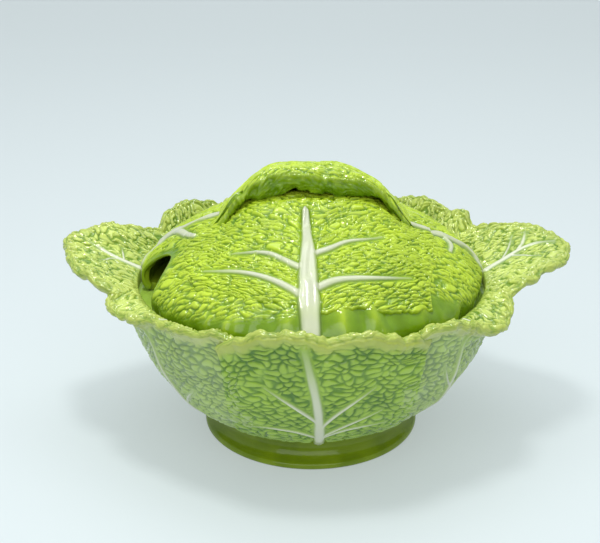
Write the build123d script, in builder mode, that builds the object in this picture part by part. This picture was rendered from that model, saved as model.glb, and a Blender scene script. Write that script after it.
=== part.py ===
"""Soup tureen shaped like a cabbage: a bowl on a foot ring, wrapped in eight leaves, under a domed lid.

Millimetres. The origin is the centre of the foot ring on the table, +Z is up, -Y is the front and
the two leaf handles point along -X and +X. The fired object comes apart in two: the bowl with what is
luted to it, and the lid with its leaf handle. Each luted clay part is a solid of its own.
"""

import os
from math import cos, radians, sin

from build123d import *

# --- driving dimensions -------------------------------------------------------------------------
FOOT_RADIUS = 77.0  # outer radius of the ring that stands on the table
FOOT_INNER_RADIUS = 68.0
FOOT_BAND_HEIGHT = 5.0
FOOT_NECK_RADIUS = 69.0
FOOT_HEIGHT = 21.0
SEAT_Z = 104.0  # the ledge inside the bowl that carries the lid
SEAT_INNER_RADIUS = 111.0
SEAT_OUTER_RADIUS = 123.0
WALL_TOP_Z = 109.0  # top of the low wall round the ledge
WALL_RADIUS = 125.0  # outside of that wall, where the leaves start
LID_GAP = 0.2  # glaze gap between the lid's rim and its ledge
LID_RADIUS = 119.6
LID_TOP_Z = 169.0
LID_THICKNESS = 5.5
FLANGE_DEPTH = 7.0  # the ring under the lid that centres it in the bowl's mouth
HANDLE_THICKNESS = 5.0
HANDLE_HALF_LENGTH = 67.0  # along X, from its middle to where the leaf meets the dome
HANDLE_SHIFT = 4.5  # of its middle towards +X
HANDLE_RISE = 28.5  # of the leaf's upper face above the dome, in the middle
NOTCH_AZIMUTH = 196.0  # degrees from +X: on the left, turned a little to the front
NOTCH_HALF_WIDTH = 21.0
NOTCH_SHOULDER_Z = 114.0
NOTCH_TOP_Z = 138.0
RIB_RADIUS = 2.6  # of the midrib raised on every leaf, centred on the leaf's face
LID_RIB_AZIMUTHS = (0.0, 90.0, 176.0, 270.0)

# --- profiles, as (radius, height) points -------------------------------------------------------
BOWL_OUTSIDE = [(66, FOOT_HEIGHT), (82, 31), (93, 41.5), (102.5, 54.5), (110.5, 67), (117, 80.5), (122, 96)]
BOWL_INSIDE = [(52, 27.8), (76, 36), (88.5, 47), (98, 59.5), (105.5, 71.5), (110, 83), (111.5, 94)]
BOWL_FLOOR_Z = 26.5
LEAF_OUTSIDE = [(72, FOOT_HEIGHT), (86, 27.5), (98, 38.5), (108, 51), (116, 64.5), (122.5, 79), (127, 94)]
RIB_BELOW = [(88, 29), (98, 38.5), (108, 51), (116, 64.5), (122.5, 79), (126, 90)]
DOME = [(115.2, 125), (110.4, 130), (101.8, 136.8), (84.3, 147.5), (60, 158.5), (30, 166.5)]
LID_RIB = [(45, 163), (60, 158.5), (84.3, 147.5), (101.8, 136.8), (107.5, 132.4)]

# Each kind of leaf opens out from the wall in its own way. Upper is the face that turns to the lid, lower the
# face that turns to the table; both run from the wall to beyond the leaf's edge, where the outline trims it.
STEEP_LEAF = {
    "upper": [(WALL_RADIUS, WALL_TOP_Z), (126.2, 118), (130, 127.5)],
    "lower": [(129.8, 104), (131.5, 115), (136, 126)],
    "rib_above": [],
}
REAR_LEAF = {
    "upper": [(WALL_RADIUS, WALL_TOP_Z), (127.5, 118), (132, 127), (139, 134), (147, 139)],
    "lower": [(129.8, 103), (133, 113), (138, 121), (144.5, 127.5), (151, 132)],
    "rib_above": [],
}
CORNER_LEAF = {
    "upper": [(WALL_RADIUS, WALL_TOP_Z), (131, 114), (143, 118), (159, 119.5)],
    "lower": [(129.8, 101), (135, 107), (146, 111.5), (160, 113)],
    "rib_above": [(129, 112), (132, 114.5), (135.5, 115.8)],
}
HANDLE_LEAF = {
    "upper": [(WALL_RADIUS, WALL_TOP_Z), (133, 114), (150, 123), (168, 131), (190, 135.5)],
    "lower": [(129.8, 101), (137, 107.5), (153, 116.5), (170, 124.5), (192, 129)],
    "rib_above": [(129, 111.6), (133, 114), (150, 123), (168, 131)],
}

# Leaf name: how it opens out, and its edge seen from above as (azimuth in degrees, radius).
LEAVES = {
    "leaf_front": (STEEP_LEAF, [(246.5, 133), (256, 135), (266, 134), (274, 132.5), (284, 134.5), (301, 134)]),
    "leaf_front_left": (CORNER_LEAF, [(197, 145), (201, 148), (206, 147.5), (214, 143.5), (225, 138), (246.5, 133)]),
    "leaf_front_right": (CORNER_LEAF, [(301, 134), (310, 137), (319, 143), (326, 152), (333, 153), (342, 145)]),
    "leaf_left_handle": (
        HANDLE_LEAF,
        [(148, 140), (158, 144), (165, 158), (172, 173), (179, 175.5), (185, 171), (192, 160), (197, 146)],
    ),
    "leaf_right_handle": (
        HANDLE_LEAF,
        [(342, 145), (348, 156), (354, 173), (361, 184.5), (369, 183), (376, 168), (383, 154), (390, 147)],
    ),
    "leaf_back": (REAR_LEAF, [(74, 136), (84, 134), (95, 136.5), (106, 134), (121, 135)]),
    "leaf_back_left": (REAR_LEAF, [(121, 134), (128, 138), (135, 138.5), (142, 141), (148, 140)]),
    "leaf_back_right": (REAR_LEAF, [(30, 143), (38, 142), (47, 140), (58, 138), (66, 139), (74, 136)]),
}


def polar(radius, azimuth):
    """A point in plan, from its distance to the axis and its azimuth in degrees."""
    return (radius * cos(radians(azimuth)), radius * sin(radians(azimuth)))


def dome_height(radius):
    """Height of the dome's outer face at this distance from the axis, close to its spline."""
    share = min(abs(radius) / LID_RADIUS, 1.0)
    return 120.0 + (LID_TOP_Z - 120.0) * (1 - share**1.75) ** 0.85


def export(part, name):
    """Labels a finished piece and writes its STEP file."""
    part.part.label = name
    export_step(part.part, f"parts/{name}.step")


def raise_rib(points, azimuth):
    """Adds a round rib to the part being built, through (radius, height) points at one azimuth."""
    with BuildLine(Plane.XZ.rotated((0, 0, azimuth))):
        path = Spline(*points)
    with BuildSketch(Plane(origin=path @ 0, z_dir=path % 0)) as section:
        Circle(RIB_RADIUS)
    sweep(section.sketch, path=path)


os.makedirs("parts", exist_ok=True)

# --- foot ring ----------------------------------------------------------------------------------
with BuildPart() as foot_ring:
    with BuildSketch(Plane.XZ):
        with BuildLine():
            Line((FOOT_INNER_RADIUS, 0), (FOOT_RADIUS, 0))
            Spline((FOOT_RADIUS, 0), (78, 2.6), (76.5, FOOT_BAND_HEIGHT))
            Spline((76.5, FOOT_BAND_HEIGHT), (FOOT_NECK_RADIUS, 13), (72, FOOT_HEIGHT))
            Line((72, FOOT_HEIGHT), (61, FOOT_HEIGHT))
            Spline((61, FOOT_HEIGHT), (62.5, 10), (FOOT_INNER_RADIUS, 0))
        make_face()
    revolve(axis=Axis.Z)
export(foot_ring, "foot_ring")

# --- bowl, with the ledge that carries the lid --------------------------------------------------
with BuildPart() as bowl:
    with BuildSketch(Plane.XZ):
        with BuildLine():
            Line((0, FOOT_HEIGHT), BOWL_OUTSIDE[0])
            outside = Spline(*BOWL_OUTSIDE, (WALL_RADIUS, WALL_TOP_Z))
            Line(outside @ 1, (SEAT_OUTER_RADIUS, WALL_TOP_Z))
            Line((SEAT_OUTER_RADIUS, WALL_TOP_Z), (SEAT_OUTER_RADIUS, SEAT_Z))
            Line((SEAT_OUTER_RADIUS, SEAT_Z), (SEAT_INNER_RADIUS, SEAT_Z))
            inside = Spline((SEAT_INNER_RADIUS, SEAT_Z), *reversed(BOWL_INSIDE), (0, BOWL_FLOOR_Z))
            Line(inside @ 1, (0, FOOT_HEIGHT))
        make_face()
    revolve(axis=Axis.Z)
export(bowl, "bowl")

# --- eight leaves round the bowl ----------------------------------------------------------------
for leaf_name, (opening, edge) in LEAVES.items():
    start, end = edge[0][0], edge[-1][0]
    with BuildPart() as leaf:
        with BuildSketch(Plane.XZ.rotated((0, 0, start))):
            with BuildLine():
                inner = Spline(*BOWL_OUTSIDE, (WALL_RADIUS, WALL_TOP_Z))
                upper = Spline(*opening["upper"])
                lower = Spline(*reversed(opening["lower"]))
                outer = Spline(lower @ 1, *reversed(LEAF_OUTSIDE))
                Line(upper @ 1, lower @ 0)
                Line(outer @ 1, inner @ 0)
            make_face()
        revolve(axis=Axis.Z, revolution_arc=end - start)
        with BuildSketch():
            with BuildLine():
                rim = Spline(*[polar(radius, azimuth) for azimuth, radius in edge])
                Line(rim @ 1, (0, 0))
                Line((0, 0), rim @ 0)
            make_face()
        extrude(amount=LID_TOP_Z, mode=Mode.INTERSECT)
        middle = (start + end) / 2
        raise_rib(RIB_BELOW, middle)
        if opening["rib_above"]:
            raise_rib(opening["rib_above"], middle)
    export(leaf, leaf_name)

# --- lid ----------------------------------------------------------------------------------------
LID_FOOT_Z = SEAT_Z + LID_GAP
FLANGE_OUTER_RADIUS = SEAT_INNER_RADIUS - 1.5
FLANGE_INNER_RADIUS = FLANGE_OUTER_RADIUS - 4.5
with BuildPart() as lid:
    with BuildSketch(Plane.XZ) as lid_outline:
        with BuildLine():
            Line((0, LID_FOOT_Z), (115.5, LID_FOOT_Z))
            shoulder = Spline((115.5, LID_FOOT_Z), (118.7, 109), (LID_RADIUS, 115), DOME[0])
            dome = Spline(*DOME, (0, LID_TOP_Z), tangents=(shoulder % 1, (-1, 0)))
            Line(dome @ 1, (0, LID_FOOT_Z))
        make_face()
    revolve(axis=Axis.Z)
    for rib_azimuth in LID_RIB_AZIMUTHS:
        raise_rib(LID_RIB, rib_azimuth)
    filled_lid = lid.part
    with BuildSketch(Plane.XZ):
        with BuildLine():
            hollow = Spline(
                (0, LID_TOP_Z - LID_THICKNESS),
                (29, 161),
                (57, 153.2),
                (81.5, 142.8),
                (98.5, 132.8),
                (107, 126),
                (113.6, 118),
                (114.2, 112),
                (111.5, 108.5),
                (FLANGE_INNER_RADIUS, 107),
                tangents=((1, 0), (-1, 0)),
            )
            Line(hollow @ 1, (FLANGE_INNER_RADIUS, LID_FOOT_Z))
            Line((FLANGE_INNER_RADIUS, LID_FOOT_Z), (0, LID_FOOT_Z))
            Line((0, LID_FOOT_Z), hollow @ 0)
        make_face()
    revolve(axis=Axis.Z, mode=Mode.SUBTRACT)
    with BuildSketch(Plane.XY.offset(LID_FOOT_Z)):
        Circle(FLANGE_OUTER_RADIUS)
        Circle(FLANGE_INNER_RADIUS, mode=Mode.SUBTRACT)
    extrude(amount=-FLANGE_DEPTH)
    # The ladle's notch: an arch through the wall and the flange.
    outward = Vector(*polar(1, NOTCH_AZIMUTH))
    along = Vector(*polar(1, NOTCH_AZIMUTH + 90))
    with BuildSketch(Plane(origin=outward * 88, x_dir=along, z_dir=outward)):
        with BuildLine():
            foot = SEAT_Z - FLANGE_DEPTH - 1
            Polyline(
                (-NOTCH_HALF_WIDTH, NOTCH_SHOULDER_Z),
                (-NOTCH_HALF_WIDTH, foot),
                (NOTCH_HALF_WIDTH, foot),
                (NOTCH_HALF_WIDTH, NOTCH_SHOULDER_Z),
            )
            Spline(
                (NOTCH_HALF_WIDTH, NOTCH_SHOULDER_Z),
                (0, NOTCH_TOP_Z),
                (-NOTCH_HALF_WIDTH, NOTCH_SHOULDER_Z),
                tangents=((0, 1), (0, -1)),
            )
        make_face()
    extrude(amount=40, mode=Mode.SUBTRACT)
export(lid, "lid")

# --- leaf handle on the lid ---------------------------------------------------------------------
# Down the leaf from its root behind to its curled lip in front: (distance behind the axis, share of the rise).
HANDLE_PATH = [(50, -0.35), (43, 0.12), (30, 0.6), (14, 0.9), (0, 0.99), (-11, 0.98), (-19, 0.84), (-22, 0.52)]
HANDLE_STATIONS = 15


def handle_point(station, path_point):
    """A point of the leaf's upper face. Its rise and its depth shrink towards both ends, and there it dips into the dome."""
    reach = 2 * station / (HANDLE_STATIONS - 1) - 1
    share = 1 - reach**2
    along_x = HANDLE_SHIFT + HANDLE_HALF_LENGTH * reach
    depth = path_point[0] * (0.42 + 0.58 * share**0.5)
    ground = dome_height((along_x**2 + depth**2) ** 0.5)
    rise = path_point[1] * HANDLE_RISE * share**0.55 - 4 * (1 - share) ** 3
    return (along_x, depth, ground + rise)


handle_face = Face.make_surface_from_array_of_points(
    [[handle_point(i, p) for p in HANDLE_PATH] for i in range(HANDLE_STATIONS)]
)
with BuildPart() as lid_handle_leaf:
    thicken(handle_face, amount=HANDLE_THICKNESS)
    add(filled_lid, mode=Mode.SUBTRACT)
export(lid_handle_leaf, "lid_handle_leaf")
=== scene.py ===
"""Looks of the cabbage-leaf soup tureen: modelled leaves, lid and foot in glazed earthenware, with studio light.

Lengths in this file are millimetres until a mesh is made. Azimuths are degrees from +X, seen from above.
"""

import math

import bpy
import numpy as np
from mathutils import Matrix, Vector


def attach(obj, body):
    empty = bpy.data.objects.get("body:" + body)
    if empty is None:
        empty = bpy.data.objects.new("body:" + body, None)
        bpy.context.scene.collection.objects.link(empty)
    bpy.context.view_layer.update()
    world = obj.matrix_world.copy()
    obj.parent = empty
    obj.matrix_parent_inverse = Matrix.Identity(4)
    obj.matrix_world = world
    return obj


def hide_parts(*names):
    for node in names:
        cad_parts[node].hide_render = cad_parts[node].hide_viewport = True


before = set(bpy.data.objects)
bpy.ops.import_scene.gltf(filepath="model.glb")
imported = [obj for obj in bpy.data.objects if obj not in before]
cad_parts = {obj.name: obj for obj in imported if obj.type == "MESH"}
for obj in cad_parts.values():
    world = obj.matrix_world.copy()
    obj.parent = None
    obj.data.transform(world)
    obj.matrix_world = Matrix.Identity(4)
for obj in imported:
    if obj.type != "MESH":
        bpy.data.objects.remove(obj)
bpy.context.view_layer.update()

MM = 0.001
STEP = 0.62  # spacing of the finest mesh lines
PI = math.pi


# --- curves and fields --------------------------------------------------------------------------
def resample(points, count):
    """The same polyline with its points evenly spaced along it; columns after the third ride along."""
    length = np.r_[0, np.cumsum(np.linalg.norm(np.diff(points[:, :3], axis=0), axis=1))]
    at = np.linspace(0, length[-1], count)
    return np.stack([np.interp(at, length, column) for column in points.T], axis=1)


def smooth_curve(points, count):
    """A natural cubic spline through the points, evenly resampled."""
    p = np.asarray(points, float)
    t = np.r_[0, np.cumsum(np.linalg.norm(np.diff(p[:, :3], axis=0), axis=1))]
    n, h = len(t), np.diff(t)
    matrix, rhs = np.eye(n), np.zeros_like(p)
    for i in range(1, n - 1):
        matrix[i, i - 1 : i + 2] = h[i - 1], 2 * (h[i - 1] + h[i]), h[i]
        rhs[i] = 6 * ((p[i + 1] - p[i]) / h[i] - (p[i] - p[i - 1]) / h[i - 1])
    bend = np.linalg.solve(matrix, rhs)
    s = np.linspace(0, t[-1], 40 * n)
    k = np.clip(np.searchsorted(t, s, "right") - 1, 0, n - 2)
    a = ((t[k + 1] - s) / h[k])[:, None]
    b = 1 - a
    curve = a * p[k] + b * p[k + 1] + ((a**3 - a) * bend[k] + (b**3 - b) * bend[k + 1]) * h[k][:, None] ** 2 / 6
    return resample(curve, count)


def ramp(low, high, x):
    """Smooth step from 0 at low to 1 at high."""
    t = np.clip((x - low) / (high - low), 0, 1)
    return t * t * (3 - 2 * t)


def lattice(ix, iy, salt):
    """A fixed random number from 0 to 1 for each point of a whole-number grid."""
    h = (ix.astype(np.int64) * 374761393 + iy.astype(np.int64) * 668265263 + salt * 974634777) & 0xFFFFFFFF
    h = ((h ^ (h >> 13)) * 1274126177) & 0xFFFFFFFF
    h = (h ^ (h >> 16)) & 0xFFFFFF
    return h / float(0x1000000)


def drift(x, y, salt):
    """Smooth noise from -1 to 1, one bump to the unit."""
    x, y = np.broadcast_arrays(np.asarray(x, float), np.asarray(y, float))
    ix, iy = np.floor(x), np.floor(y)
    fx, fy = x - ix, y - iy
    fx, fy = fx * fx * fx * (fx * (fx * 6 - 15) + 10), fy * fy * fy * (fy * (fy * 6 - 15) + 10)
    near = lattice(ix, iy, salt) * (1 - fx) + lattice(ix + 1, iy, salt) * fx
    far = lattice(ix, iy + 1, salt) * (1 - fx) + lattice(ix + 1, iy + 1, salt) * fx
    return 2 * (near * (1 - fy) + far * fy) - 1


def cells(x, y, salt):
    """Pebble cells, about one to the unit square: (distance to the border, distance to the centre, tone 0-1)."""
    ix, iy = np.floor(x), np.floor(y)
    nearest = np.full(x.shape, 99.0)
    nx, ny, tone = np.zeros(x.shape), np.zeros(x.shape), np.zeros(x.shape)
    reach = range(-2, 3)
    centres = []
    for dx in reach:
        for dy in reach:
            cx, cy = ix + dx, iy + dy
            px = cx + 0.5 + 0.36 * (2 * lattice(cx, cy, salt) - 1) + 0.5 * (cy % 2) - 0.25 - x
            py = cy + 0.5 + 0.36 * (2 * lattice(cx, cy, salt + 1) - 1) - y
            centres.append((px, py))
            d = px * px + py * py
            closer = d < nearest
            nearest = np.where(closer, d, nearest)
            nx, ny = np.where(closer, px, nx), np.where(closer, py, ny)
            tone = np.where(closer, lattice(cx, cy, salt + 2), tone)
    crowd = np.zeros(x.shape)
    for px, py in centres:
        gx, gy = px - nx, py - ny
        length = np.hypot(gx, gy)
        border = ((px + nx) * gx + (py + ny) * gy) / 2 / np.maximum(length, 1e-6)
        crowd += np.where(length > 1e-6, np.exp(-14 * border), 0)
    return np.maximum(-np.log(crowd) / 14, 0), np.sqrt(nearest), tone


def blisters(x, y, salt):
    """The underside of a savoy leaf: swollen cells between grooves. Height from 0 to 1."""
    u = x + 3.0 * drift(x / 15, y / 15, salt + 11) + 1.1 * drift(x / 4.6, y / 4.6, salt + 12)
    v = y + 3.0 * drift(x / 15, y / 15, salt + 13) + 1.1 * drift(x / 4.6, y / 4.6, salt + 14)
    border, _, tone = cells(u / 7.4, v / 4.3, salt)
    merge = 0.1 * ramp(0.1, 0.9, drift(x / 6, y / 6, salt + 15))
    swell = 1 - np.exp(-(((border + merge) / 0.16) ** 1.3))
    return swell * (0.74 + 0.26 * tone) + 0.07 * drift(x / 1.7, y / 1.7, salt + 16)


def crinkles(x, salt):
    """An uneven waviness from -1 to 1 along an edge x millimetres long."""
    a, b, c = drift(x / 11, salt, salt), drift(x / 5.3, salt, salt + 1), drift(x / 2.3, salt, salt + 2)
    return np.clip(0.75 * a + 0.5 * b + 0.3 * c * ramp(-0.1, 0.5, drift(x / 14, salt, salt + 3)), -1, 1)


def wrinkles(x, y, salt):
    """The upper side of a savoy leaf: long soft swellings between narrow creases. Height from 0 to 1."""
    u = x + 3.6 * drift(x / 17, y / 8, salt + 21) + 1.5 * drift(x / 5, y / 4, salt + 22)
    v = y + 3.0 * drift(x / 17, y / 8, salt + 23) + 1.4 * drift(x / 5, y / 4, salt + 24)
    border, _, tone = cells(u / 10.2, v / 2.9, salt)
    swell = 1 - np.exp(-((border / 0.095) ** 1.5))
    fine = np.exp(-((drift(u / 5.5, v / 1.9, salt + 26) / 0.16) ** 2))
    strong = 0.88 + 0.12 * drift(x / 5.5, y / 4, salt + 25)
    return ramp(0.0, 0.95, swell * strong * (0.78 + 0.22 * tone) * (1 - 0.5 * fine))


def vein_field(x, y, veins):
    """Half-round ribs along curves: (height, distance outside the nearest rib, its whiteness).
    A rib is (points, half its width at the start, at the end); points may give that width themselves."""
    height, outside, white = np.zeros(x.shape), np.full(x.shape, 99.0), np.zeros(x.shape)
    for points, start_width, end_width in veins:
        path = smooth_curve(points, 26)
        widths = path[:, 2] if path.shape[1] > 2 else np.linspace(start_width, end_width, len(path))
        path = path[:, :2]
        low, high = path.min(0) - 12, path.max(0) + 12
        inside = (x > low[0]) & (x < high[0]) & (y > low[1]) & (y < high[1])
        px, py = x[inside], y[inside]
        best, share = np.full(px.shape, 99.0), np.zeros(px.shape)
        for i in range(len(path) - 1):
            (ax, ay), (bx, by) = path[i], path[i + 1]
            ex, ey = bx - ax, by - ay
            t = np.clip(((px - ax) * ex + (py - ay) * ey) / (ex * ex + ey * ey), 0, 1)
            d = np.hypot(px - ax - t * ex, py - ay - t * ey)
            closer = d < best
            best = np.where(closer, d, best)
            share = np.where(closer, (i + t) / (len(path) - 1), share)
        width = np.interp(share, np.linspace(0, 1, len(widths)), widths)
        width = width * (1 + 0.08 * drift(share * 9, share * 0, len(points)))
        tail = 1 - ramp(0.55, 1.0, share) * (end_width < 1.0)
        bulge = np.clip(1 - (best / (1.15 * width)) ** 2, 0, 1) ** 0.75 * (0.35 + 0.5 * width)
        height[inside] = np.maximum(height[inside], np.minimum(bulge, 2.4) * (0.4 + 0.6 * tail))
        outside[inside] = np.minimum(outside[inside], best - width)
        fade = (1 - ramp(0.5, 1.25, best / width)) * (0.25 + 0.75 * tail)
        white[inside] = np.maximum(white[inside], fade)
    return height, outside, white


# --- meshes -------------------------------------------------------------------------------------
def dot(a, b):
    return np.sum(a * b, axis=-1)


def unit(v):
    return v / np.maximum(np.linalg.norm(v, axis=-1, keepdims=True), 1e-9)


def loft_normals(points):
    """Normals of a grid of points (columns, rows), whose rows close on themselves."""
    across = np.empty_like(points)
    across[1:-1] = points[2:] - points[:-2]
    across[0], across[-1] = points[1] - points[0], points[-1] - points[-2]
    round_ = np.roll(points, -1, axis=1) - np.roll(points, 1, axis=1)
    return unit(np.cross(across, round_))


def mesh_piece(name, vertices, faces, fields, material, body, node):
    """Makes a smooth-shaded piece from millimetre vertices and hands it to the frame."""
    mesh = bpy.data.meshes.new(name)
    mesh.from_pydata((vertices * MM).tolist(), [], faces)
    mesh.validate()
    for key, values in fields.items():
        layer = mesh.attributes.new(key, "FLOAT", "POINT")
        layer.data.foreach_set("value", np.ascontiguousarray(values, np.float32).ravel())
    mesh.shade_smooth()
    mesh.materials.append(material)
    piece = bpy.data.objects.new(name, mesh)
    bpy.context.scene.collection.objects.link(piece)
    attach(piece, body)
    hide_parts(node)
    return piece


def loft_piece(name, points, fields, material, body, node, slot, closed=False):
    """A closed piece from a grid of points (columns, rows) whose rows are closed loops.
    With closed, the columns also meet, as in a ring; otherwise each end gets a cap."""
    columns, rows = points.shape[:2]
    index = np.arange(columns * rows).reshape(columns, rows)
    here = index if closed else index[:-1]
    there = np.roll(index, -1, axis=0) if closed else index[1:]
    quads = np.stack([here, there, np.roll(there, -1, axis=1), np.roll(here, -1, axis=1)], axis=-1).reshape(-1, 4)
    corner = points.reshape(-1, 3)[quads]
    volume = dot(corner[:, 0], np.cross(corner[:, 1], corner[:, 2]) + np.cross(corner[:, 2], corner[:, 3])).sum()
    if volume < 0:
        quads = quads[:, ::-1]
    faces = quads.tolist()
    if not closed:
        first, last = index[0].tolist(), index[-1].tolist()
        faces += [first[::-1], last] if volume < 0 else [first, last[::-1]]
    piece = mesh_piece(name, points.reshape(-1, 3), faces, fields, material, body, node)
    if not closed:
        ends = np.empty(len(piece.data.edges) * 2, np.int64)
        piece.data.edges.foreach_get("vertices", ends)
        column = ends.reshape(-1, 2) // rows
        sharp = (column[:, 0] == column[:, 1]) & ((column[:, 0] == 0) | (column[:, 0] == columns - 1))
        layer = piece.data.attributes.new("sharp_edge", "BOOLEAN", "EDGE")
        layer.data.foreach_set("value", sharp)
    return piece


def lathe_piece(name, profile, columns, *rest, ripple=None):
    """A ring turned from a closed profile of (radius, height) points."""
    turn = np.linspace(0, 2 * PI, columns, endpoint=False)[:, None]
    radius, height = profile[:, 0][None, :], profile[:, 1][None, :]
    points = np.stack([radius * np.cos(turn), radius * np.sin(turn), height + 0 * turn], axis=-1)
    if ripple:
        points[..., 2] += ripple(turn, radius, height)
    fields = {"ridge": np.full(points.shape[:2], 0.5)}
    return loft_piece(name, points, fields, *rest, closed=True)


def bezier(a, b, c, d, t):
    t = t[None, :, None]
    a, b, c, d = a[:, None], b[:, None], c[:, None], d[:, None]
    return a * (1 - t) ** 3 + 3 * b * t * (1 - t) ** 2 + 3 * c * t * t * (1 - t) + d * t**3


# --- glazes -------------------------------------------------------------------------------------
def glaze(name, trough, crest, pale, rim, under_trough=None, under_crest=None, roughness=0.11, gloss=0.44):
    """Transparent coloured glaze over white clay: it pools dark in the hollows and thins out on the crests.
    The mesh fields say where: ridge (height, raised or lowered on some pieces as painted light and shade), vein (bare
    ribs), rim (worn edge) and under (outer face)."""
    material = bpy.data.materials.new(name)
    material.use_nodes = True
    tree = material.node_tree
    nodes, links = tree.nodes, tree.links
    shader = nodes["Principled BSDF"]

    def field(key):
        node = nodes.new("ShaderNodeAttribute")
        node.attribute_name = key
        return node.outputs["Fac"]

    def noise(scale, detail, distortion=0.0):
        where = nodes.new("ShaderNodeTexCoord")
        node = nodes.new("ShaderNodeTexNoise")
        node.inputs["Scale"].default_value = scale
        node.inputs["Detail"].default_value = detail
        node.inputs["Distortion"].default_value = distortion
        links.new(where.outputs["Object"], node.inputs["Vector"])
        return node.outputs["Fac"]

    def mix(factor, a, b):
        node = nodes.new("ShaderNodeMix")
        node.data_type = "RGBA"
        for socket, value in ((node.inputs[0], factor), (node.inputs[6], a), (node.inputs[7], b)):
            if isinstance(value, bpy.types.NodeSocket):
                links.new(value, socket)
            else:
                socket.default_value = value if isinstance(value, float) else (*value, 1)
        return node.outputs[2]

    def remap(value, low, high, to_low=0.0, to_high=1.0):
        node = nodes.new("ShaderNodeMapRange")
        node.interpolation_type = "SMOOTHSTEP"
        for key, number in (("From Min", low), ("From Max", high), ("To Min", to_low), ("To Max", to_high)):
            node.inputs[key].default_value = number
        links.new(value, node.inputs["Value"])
        return node.outputs["Result"]

    def blend(level, dark, light):
        deep = mix(level, dark, light)
        patch = remap(noise(38, 4, 0.6), 0.32, 0.7)
        warmer = mix(patch, tuple(0.78 * c for c in dark), tuple(min(1.0, 1.12 * c) for c in light))
        return mix(0.24, deep, warmer)

    level = remap(field("ridge"), 0.05, 0.85)
    colour = blend(level, trough, crest)
    if under_trough:
        colour = mix(field("under"), colour, blend(level, under_trough, under_crest))
    colour = mix(field("rim"), colour, mix(remap(noise(120, 3), 0.3, 0.7), rim, tuple(0.85 * c for c in rim)))
    stain = remap(noise(60, 3), 0.35, 0.75, 0.0, 0.28)
    colour = mix(field("vein"), colour, mix(stain, pale, tuple(0.5 * a + 0.5 * b for a, b in zip(pale, crest))))
    links.new(colour, shader.inputs["Base Color"])
    shader.inputs["Roughness"].default_value = roughness
    links.new(remap(noise(240, 3), 0.3, 0.8, roughness * 0.8, roughness * 1.5), shader.inputs["Roughness"])
    shader.inputs["IOR"].default_value = 1.52
    shader.inputs["Coat Weight"].default_value = 0.15
    shader.inputs["Specular IOR Level"].default_value = gloss
    shader.inputs["Coat Roughness"].default_value = 0.04
    bump = nodes.new("ShaderNodeBump")
    bump.inputs["Strength"].default_value = 0.16
    bump.inputs["Distance"].default_value = 0.0006
    links.new(noise(420, 2), bump.inputs["Height"])
    links.new(bump.outputs["Normal"], shader.inputs["Normal"])
    return material


WHITE = (0.62, 0.64, 0.50)
leaf_glaze = glaze(
    "leaf_glaze",
    trough=(0.10, 0.22, 0.004),
    crest=(0.53, 0.63, 0.13),
    pale=WHITE,
    rim=(0.42, 0.50, 0.09),
    under_trough=(0.070, 0.185, 0.013),
    under_crest=(0.325, 0.495, 0.056),
)
lid_glaze = glaze("lid_glaze", trough=(0.10, 0.22, 0.0006), crest=(0.46, 0.61, 0.03), pale=(0.50, 0.53, 0.38), rim=(0.14, 0.26, 0.001))
inner_glaze = glaze("inner_glaze", trough=(0.2, 0.4, 0.03), crest=(0.42, 0.6, 0.09), pale=WHITE, rim=(0.42, 0.6, 0.1))
foot_glaze = glaze("foot_glaze", trough=(0.055, 0.12, 0.002), crest=(0.24, 0.33, 0.008), pale=WHITE, rim=(0.3, 0.4, 0.04), gloss=0.24)


# --- bowl and foot ------------------------------------------------------------------------------
def rounded(profile, count):
    """A closed profile of (radius, height) points, corners included, evenly resampled."""
    closed = np.array(profile + profile[:1], float)
    return resample(closed, count + 1)[:-1]


BOWL_OUTSIDE = [(66, 21), (82, 31), (93, 41.5), (102.5, 54.5), (110.5, 67), (117, 80.5), (122, 96), (125, 109)]
BOWL_INSIDE = [(0.01, 26.5), (25, 26.6), (52, 27.8), (76, 36), (88.5, 47), (98, 59.5), (105.5, 71.5), (110, 83)]
outside = [tuple(p) for p in smooth_curve(BOWL_OUTSIDE, 60)]
inside = [tuple(p) for p in smooth_curve(BOWL_INSIDE + [(111.5, 94), (111, 102.8)], 90)]
seat = [(111.3, 103.6), (112, 104), (122, 104), (122.8, 104.3), (123, 105), (123.1, 108.3), (123.6, 108.9)]
bowl_profile = np.array([(0.01, 21)] + outside[:-1] + [(124.6, 109)] + seat[::-1] + inside[::-1])
lathe_piece("bowl", bowl_profile, 320, inner_glaze, "tureen", "bowl", "inner_glaze")

foot_curve = [(76.6, 0.3), (77.6, 1.2), (78.0, 2.8), (77.4, 4.4), (75.8, 5.4), (73.2, 7.0), (71, 9.6), (69.4, 13.6)]
foot_outside = [tuple(p) for p in smooth_curve(foot_curve + [(69.2, 18), (70.4, 22), (73, 25.5)], 60)]
foot_profile = np.array([(75.8, 0)] + foot_outside + [(66, 26), (61, 21), (61.3, 16), (62.5, 10), (67.2, 0.8), (68, 0)])
lathe_piece("foot_ring", foot_profile, 320, foot_glaze, "tureen", "foot_ring", "foot_glaze")

# --- leaves round the bowl ----------------------------------------------------------------------
LEAF_OUTSIDE = [(76.5, 26.2), (80.3, 26.6), (87, 30), (98, 39), (108, 51), (116, 64.5), (122.5, 79), (127, 93)]
leaf_side = smooth_curve(LEAF_OUTSIDE, 400)
back_side = smooth_curve(BOWL_OUTSIDE, 12)[::-1]
ROLL = 2.9  # radius of the rolled edge


def polar(radius, azimuth, height):
    a = np.radians(azimuth)
    return np.stack(np.broadcast_arrays(radius * np.cos(a), radius * np.sin(a), height), axis=-1)


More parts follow.
